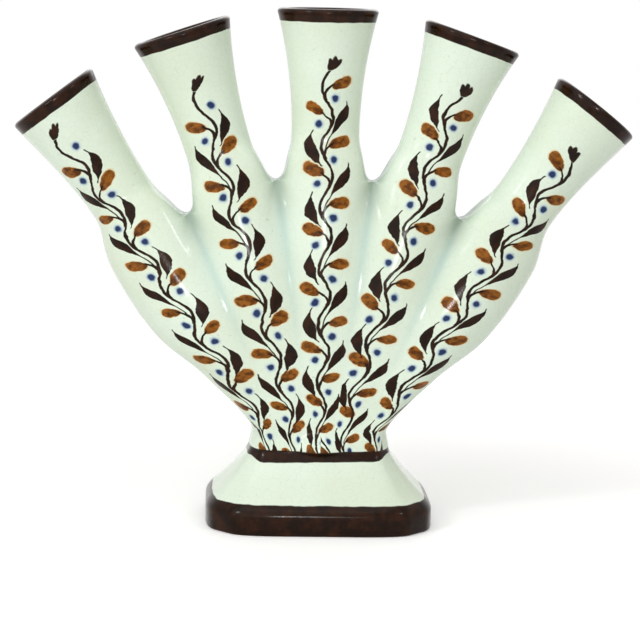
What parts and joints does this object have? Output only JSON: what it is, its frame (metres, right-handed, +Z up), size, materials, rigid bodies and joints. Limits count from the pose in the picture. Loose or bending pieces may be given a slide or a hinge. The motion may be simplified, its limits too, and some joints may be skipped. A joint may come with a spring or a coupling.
{
  "type": "quintal vase",
  "caption": "Tin-glazed fan vase of conjoined flaring horns on a canted pedestal foot, painted with climbing leaf, bud and dot vines in brown, ochre and blue",
  "frame": {"origin": "middle of the foot's flat resting face", "axes": "+Z is up, +X runs along the fan of horns to the right as seen from the front, the front faces -Y"},
  "size_m": [0.202, 0.057, 0.1697],
  "materials": {
    "painted_glaze": "gloss",
    "plain_glaze": "gloss",
    "inner_glaze": "gloss"
  },
  "bodies": {
    "root": {"horn_outer_left": "painted_glaze", "horn_inner_left": "painted_glaze", "horn_centre": "painted_glaze", "horn_inner_right": "painted_glaze", "horn_outer_right": "painted_glaze", "waist_collar": "painted_glaze", "reservoir_floor": "inner_glaze", "pedestal_foot": "plain_glaze"}
  },
  "joints": []
}
